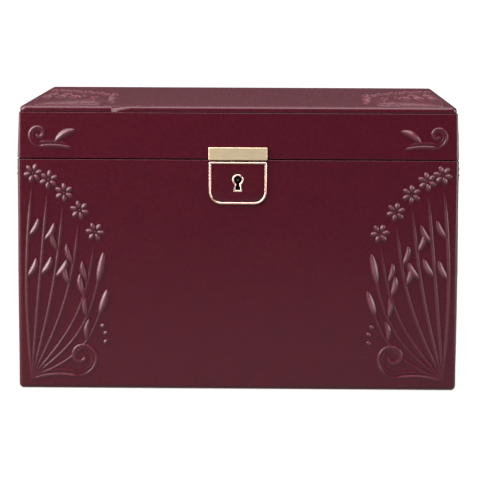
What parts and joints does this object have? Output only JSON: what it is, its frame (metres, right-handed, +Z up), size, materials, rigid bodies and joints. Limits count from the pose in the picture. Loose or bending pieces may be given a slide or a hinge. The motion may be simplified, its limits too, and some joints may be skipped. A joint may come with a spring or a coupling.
{
  "type": "jewellery case",
  "caption": "Leather-covered jewellery case with a hinged lid and mirror, sliding trays, a divided bottom and a box lock with a shield escutcheon.",
  "frame": {"origin": "middle of the underside, where the case rests", "axes": "+Z up, the front with the lock faces -Y, +X to the right of someone facing the front"},
  "size_m": [0.3, 0.2121, 0.1952],
  "materials": {
    "case_leather": "smooth semi-gloss calf leather, embossed",
    "bottom_leather": "plain leather",
    "tray_leather": "smooth semi-gloss leather",
    "board_wood": "sawn board",
    "suede_lining": "suede-like lining",
    "gilt_brass": "pale gilt, satin polished",
    "hinge_brass": "polished brass",
    "lock_steel": "plain steel",
    "mirror_glass": "silvered glass"
  },
  "bodies": {
    "base": {"base_front_board": "board_wood", "base_back_board": "board_wood", "base_left_board": "board_wood", "base_right_board": "board_wood", "base_floor_board": "board_wood", "base_front_leather": "case_leather", "base_back_leather": "case_leather", "base_left_leather": "case_leather", "base_right_leather": "case_leather", "base_bottom_cover": "bottom_leather", "base_front_lining": "suede_lining", "base_back_lining": "suede_lining", "base_left_lining": "suede_lining", "base_right_lining": "suede_lining", "base_floor_lining": "suede_lining", "upper_ledges": "suede_lining", "lower_ledges": "suede_lining", "long_divider": "suede_lining", "cross_dividers": "suede_lining", "left_hinge_base_leaf": "hinge_brass", "right_hinge_base_leaf": "hinge_brass", "hinge_pins": "hinge_brass", "hinge_base_screws": "hinge_brass", "lock_case": "lock_steel", "lock_cover": "lock_steel", "lock_screws": "lock_steel", "bolt_spring": "lock_steel", "key_post": "lock_steel", "escutcheon_frame": "gilt_brass", "escutcheon_inlay": "case_leather", "keyhole_rim": "gilt_brass"},
    "lock_bolt": {"lock_bolt": "lock_steel"},
    "lid": {"lid_front_board": "board_wood", "lid_back_board": "board_wood", "lid_left_board": "board_wood", "lid_right_board": "board_wood", "lid_top_board": "board_wood", "lid_front_leather": "case_leather", "lid_back_leather": "case_leather", "lid_left_leather": "case_leather", "lid_right_leather": "case_leather", "lid_top_panel": "case_leather", "lid_lining": "suede_lining", "mirror_glass": "mirror_glass", "mirror_frame": "gilt_brass", "left_hinge_lid_leaf": "hinge_brass", "right_hinge_lid_leaf": "hinge_brass", "hinge_lid_screws": "hinge_brass", "lid_plate": "gilt_brass", "lid_keeper": "gilt_brass", "keeper_screws": "lock_steel"},
    "upper_tray": {"upper_tray_floor": "suede_lining", "upper_tray_rim": "tray_leather", "ring_rolls": "suede_lining", "upper_tray_tab": "tray_leather"},
    "lower_tray": {"lower_tray_floor": "suede_lining", "lower_tray_rim": "tray_leather", "lower_tray_dividers": "suede_lining", "lower_tray_tab": "tray_leather"}
  },
  "joints": [
    {"name": "lid_hinge", "type": "hinge", "parent": "base", "child": "lid", "pos_m": [0, 0.1047, 0.1594], "axis": [-1, 0, 0], "range_deg": [0, 100]},
    {"name": "upper_tray_slide", "type": "slide", "parent": "base", "child": "upper_tray", "axis": [1, 0, 0], "range_m": [0, 0.1386]},
    {"name": "lower_tray_slide", "type": "slide", "parent": "base", "child": "lower_tray", "axis": [-1, 0, 0], "range_m": [0, 0.1386]},
    {"name": "lock_bolt_slide", "type": "slide", "parent": "base", "child": "lock_bolt", "axis": [1, 0, 0], "range_m": [0, 0.005]}
  ]
}
